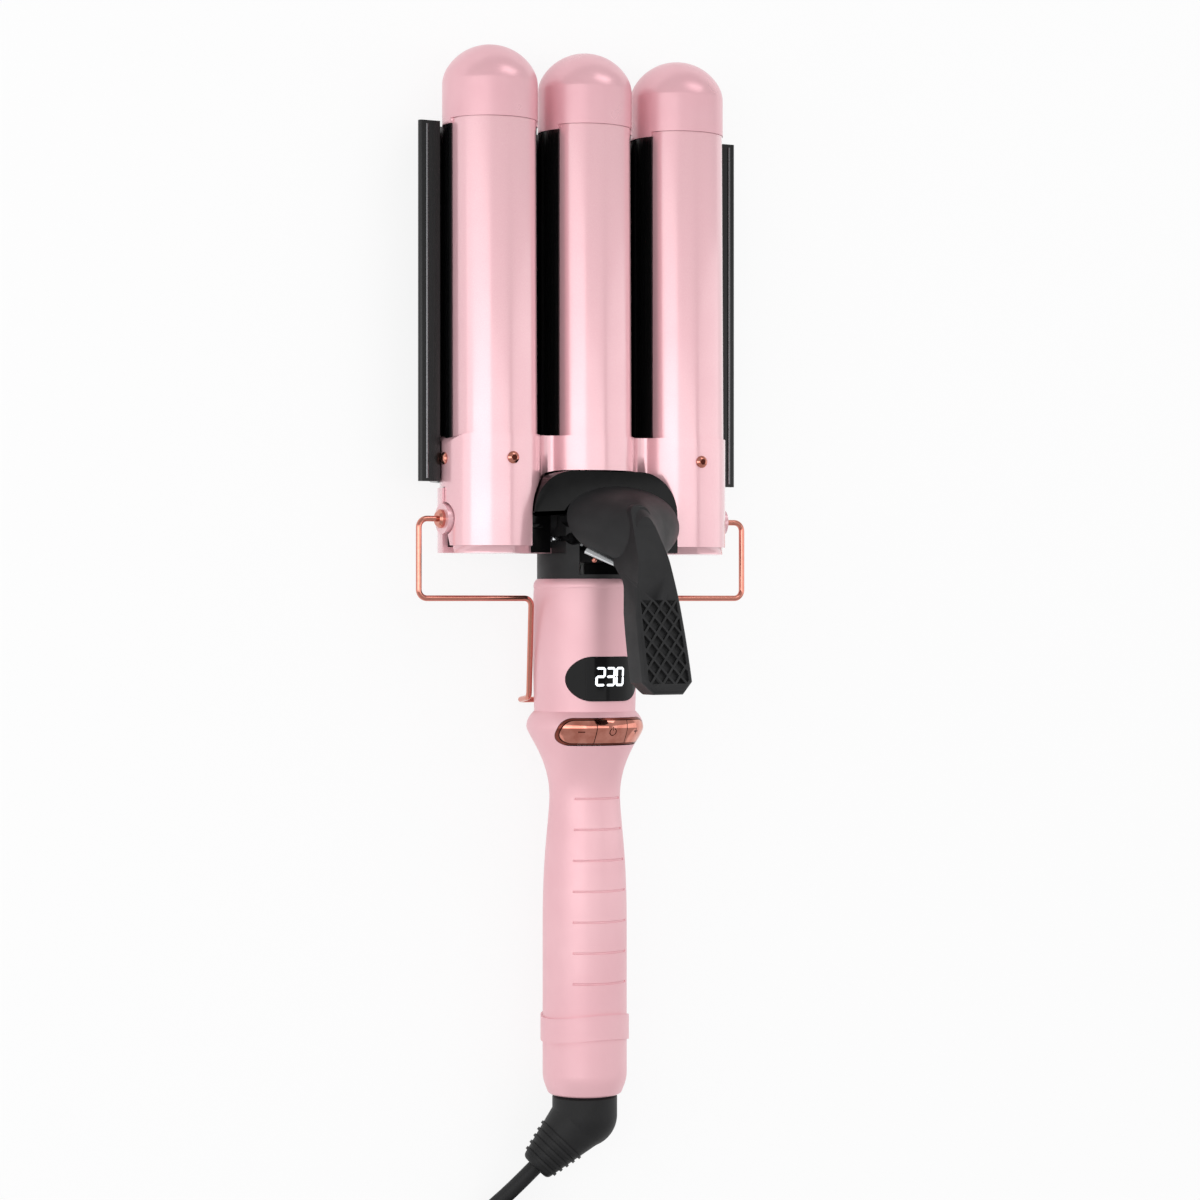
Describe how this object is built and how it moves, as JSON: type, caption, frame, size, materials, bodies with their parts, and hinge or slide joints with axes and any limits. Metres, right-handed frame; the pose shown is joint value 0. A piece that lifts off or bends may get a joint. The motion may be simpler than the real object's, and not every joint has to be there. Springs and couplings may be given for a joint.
{
  "type": "three-barrel hair waver",
  "caption": "Hair waver: a sprung jaw of three heated barrels closes on a troughed plate, with a lever, digital display, keys, folding wire stand and swivel cord.",
  "frame": {"origin": "on the rest face at the back, straight under the jaw hinge", "axes": "+Y along the tool towards the barrel tips, +Z out of the face with the display, X across"},
  "size_m": [0.1643, 0.4992, 0.0793],
  "materials": {
    "satin_pink": "satin",
    "pearl_pink": "pearlescent gloss",
    "soft_pink": "soft-touch matte",
    "gloss_black": "gloss",
    "satin_black": "satin",
    "jaw_coating": "ceramic coating",
    "plate_pink": "coated aluminium",
    "rose_gold": "polished rose gold",
    "steel": "bright",
    "rubber_black": "matt",
    "lens_black": "smoked",
    "board_green": "solder mask",
    "part_grey": "matt",
    "ceramic_white": "matt",
    "brass_pins": "nickelled",
    "lead_white": "silicone"
  },
  "bodies": {
    "handle": {"neck_frame": "satin_black", "bracket_screws": "steel", "hinge_pin": "steel", "jaw_spring": "steel", "rear_shell": "pearl_pink", "rear_bracket": "steel", "rear_plate": "jaw_coating", "plate_screws": "steel", "stand_bushes": "rose_gold", "handle_shell": "soft_pink", "trim_ring": "soft_pink", "end_cap": "soft_pink", "display_lens": "lens_black", "display_module": "part_grey", "display_board": "board_green", "tact_switches": "part_grey", "button_frame": "satin_black", "chassis": "satin_black", "power_board": "board_green", "board_parts": "part_grey", "heater_leads": "lead_white", "cord_tube": "rubber_black", "cord_clamp": "satin_black", "swivel_retainer": "satin_black", "cord_coil": "rubber_black", "coil_tie": "satin_black", "cord_tail": "rubber_black", "plug_body": "rubber_black", "plug_pins": "brass_pins"},
    "front_jaw": {"barrel_left": "jaw_coating", "barrel_centre": "jaw_coating", "barrel_right": "jaw_coating", "cap_left": "satin_pink", "cap_centre": "satin_pink", "cap_right": "satin_pink", "heater_left": "ceramic_white", "heater_centre": "ceramic_white", "heater_right": "ceramic_white", "temperature_sensors": "part_grey", "thermal_fuse": "steel", "front_cover": "pearl_pink", "cover_screws": "rose_gold", "side_screws": "rose_gold", "barrel_holder": "satin_black", "hub": "gloss_black", "lever": "satin_black"},
    "stand": {"stand": "rose_gold"},
    "button_minus": {"button_minus": "rose_gold"},
    "button_power": {"button_power": "rose_gold"},
    "button_plus": {"button_plus": "rose_gold"},
    "boot": {"cord_boot": "rubber_black"}
  },
  "joints": [
    {"name": "jaw_hinge", "type": "hinge", "parent": "handle", "child": "front_jaw", "pos_m": [0, 0, 0.0203], "axis": [1, 0, 0], "range_deg": [0, 18], "stiffness_Nm_per_rad": 0.6, "springref_deg": -34.38, "deforming": ["jaw_spring"]},
    {"name": "stand_hinge", "type": "hinge", "parent": "handle", "child": "stand", "pos_m": [0, 0, 0.0203], "axis": [1, 0, 0], "range_deg": [0, 100]},
    {"name": "minus_press", "type": "slide", "parent": "handle", "child": "button_minus", "axis": [0, 0, -1], "range_m": [0, 0.0008], "stiffness_N_per_m": 800, "springref_m": -0.0006},
    {"name": "power_press", "type": "slide", "parent": "handle", "child": "button_power", "axis": [0, 0, -1], "range_m": [0, 0.0008], "stiffness_N_per_m": 800, "springref_m": -0.0006},
    {"name": "plus_press", "type": "slide", "parent": "handle", "child": "button_plus", "axis": [0, 0, -1], "range_m": [0, 0.0008], "stiffness_N_per_m": 800, "springref_m": -0.0006},
    {"name": "boot_swivel", "type": "hinge", "parent": "handle", "child": "boot", "pos_m": [0, -0.2066, 0.0203], "axis": [0, 1, 0], "continuous": true, "deforming": ["cord_tube"]}
  ]
}
